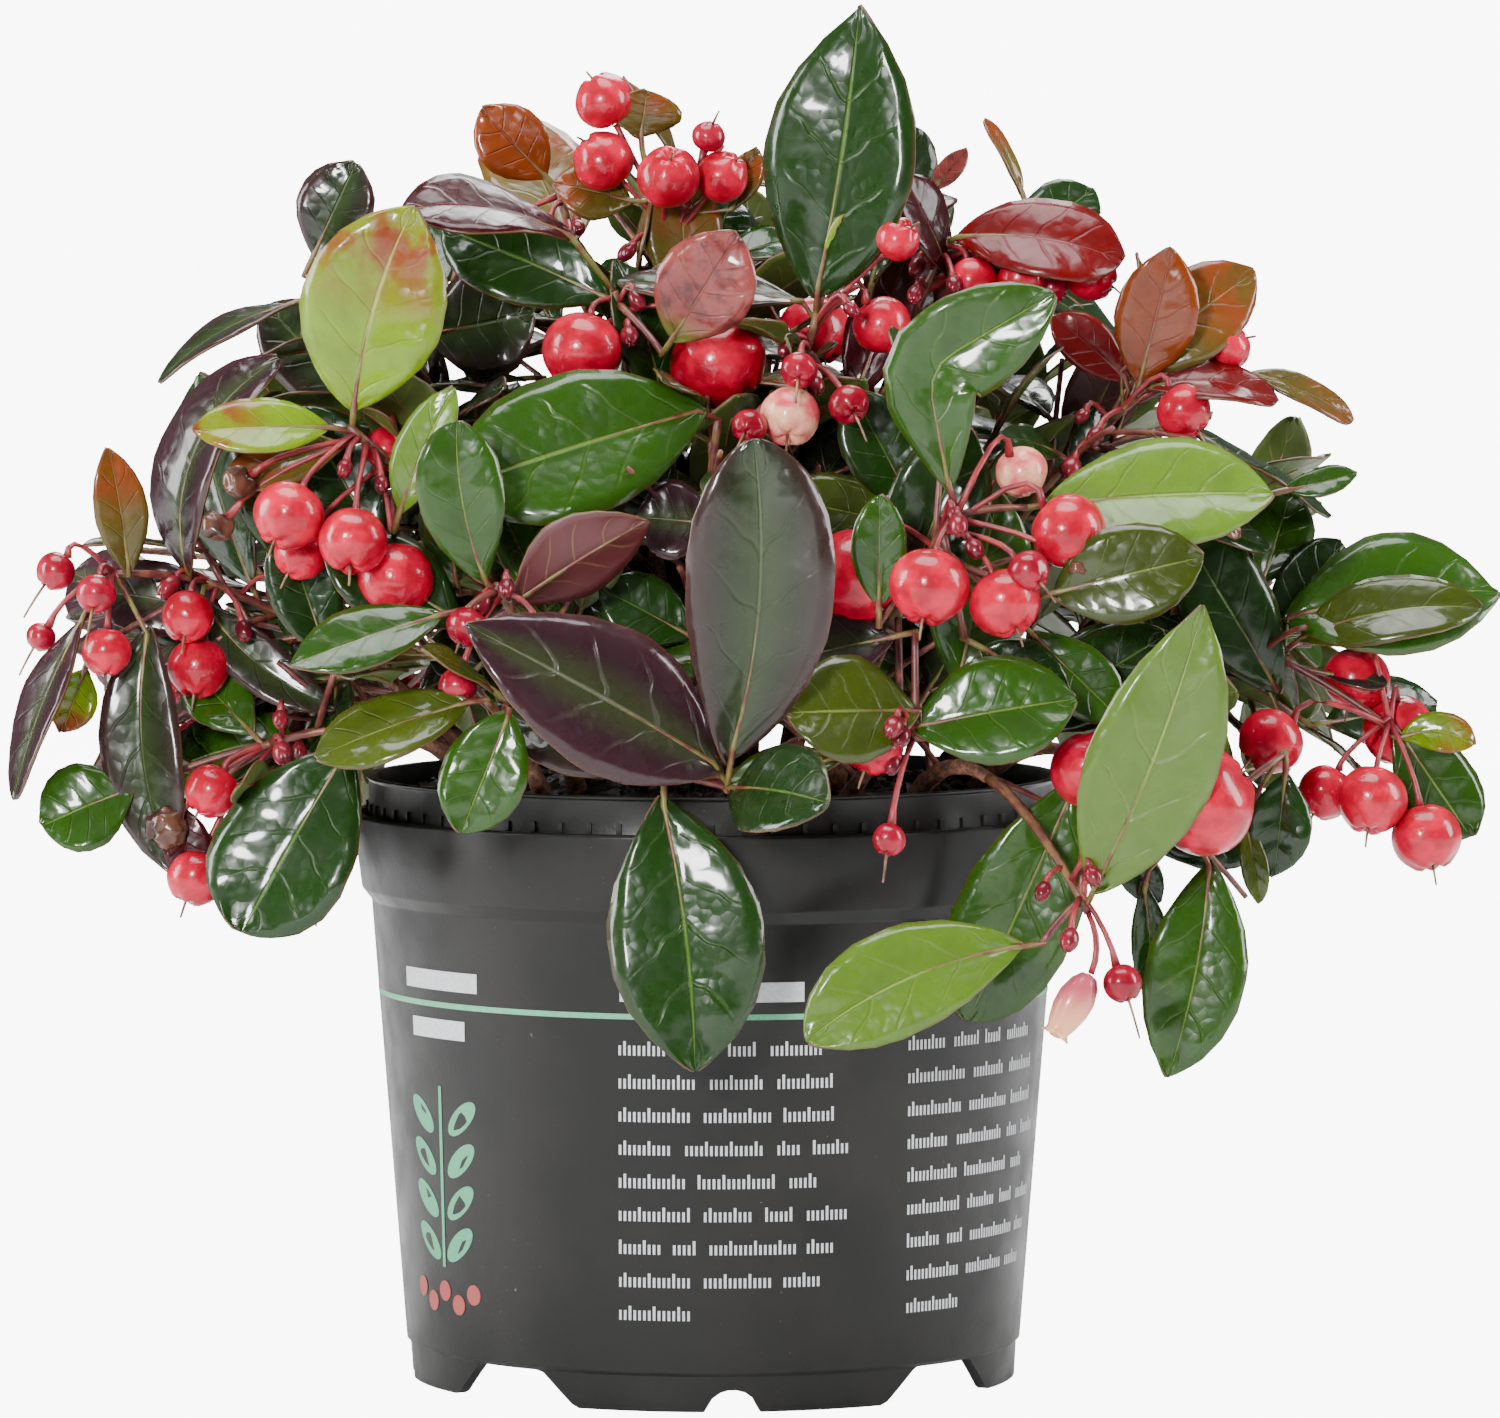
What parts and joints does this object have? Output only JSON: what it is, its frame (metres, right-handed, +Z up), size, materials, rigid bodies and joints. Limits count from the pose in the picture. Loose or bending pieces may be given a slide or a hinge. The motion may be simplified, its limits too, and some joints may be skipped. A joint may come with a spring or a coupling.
{
  "type": "potted wintergreen",
  "caption": "Low evergreen wintergreen shrub with glossy oval leaves and hanging red berries, in a round black nursery pot of soil.",
  "frame": {"origin": "centre of the pot's underside, where the dished floor meets the ground on the pot's axis", "axes": "+Z up along the pot's axis; -Y towards the front that the picture shows; +X to the right seen from the front"},
  "size_m": [0.2453, 0.2051, 0.2269],
  "materials": {
    "pot_plastic": "black injection-moulded polypropylene with a fine grain and a soft sheen",
    "peat": "dark moist peat crumbs",
    "bark": "thin red-brown bark on young woody stems",
    "leaf_green": "leathery evergreen leaf with a waxy gloss",
    "leaf_dark": "leathery leaf turned plum by the cold, waxy gloss",
    "leaf_red": "young leathery leaf turned red and bronze, waxy gloss",
    "berry": "smooth waxy skin of a ripe red berry",
    "pot_print": "thin screen-printed ink on the pot"
  },
  "bodies": {
    "root": {"pot": "pot_plastic", "soil": "peat", "stem_crest": "bark", "leaves_crest": "leaf_green", "stem_maroon": "bark", "leaves_maroon": "leaf_dark", "stem_topfruit": "bark", "leaves_topfruit": "leaf_green", "stem_yellow": "bark", "leaves_yellow": "leaf_green", "stem_dusk": "bark", "leaves_dusk": "leaf_dark", "stem_russet": "bark", "leaves_russet": "leaf_red", "stem_leftarm": "bark", "leaves_leftarm": "leaf_dark", "stem_leftlow": "bark", "leaves_leftlow": "leaf_green", "stem_frontleft": "bark", "leaves_frontleft": "leaf_green", "stem_rimleft": "bark", "leaves_rimleft": "leaf_green", "stem_darkpair": "bark", "leaves_darkpair": "leaf_dark", "stem_rimright": "bark", "leaves_rimright": "leaf_green", "stem_rightfruit": "bark", "leaves_rightfruit": "leaf_green", "stem_bronze": "bark", "leaves_bronze": "leaf_red", "stem_scarlet": "bark", "leaves_scarlet": "leaf_red", "stem_farright": "bark", "leaves_farright": "leaf_green", "stem_lowright": "bark", "leaves_lowright": "leaf_green", "stem_shade": "bark", "leaves_shade": "leaf_green", "stem_bigleaf": "bark", "leaves_bigleaf": "leaf_green", "stem_backleft": "bark", "leaves_backleft": "leaf_green", "stem_backfarleft": "bark", "leaves_backfarleft": "leaf_green", "stem_backlowleft": "bark", "leaves_backlowleft": "leaf_green", "stem_backmiddle": "bark", "leaves_backmiddle": "leaf_green", "stem_backtop": "bark", "leaves_backtop": "leaf_green", "stem_backright": "bark", "leaves_backright": "leaf_green", "stem_backfarright": "bark", "leaves_backfarright": "leaf_green"}
  },
  "joints": []
}
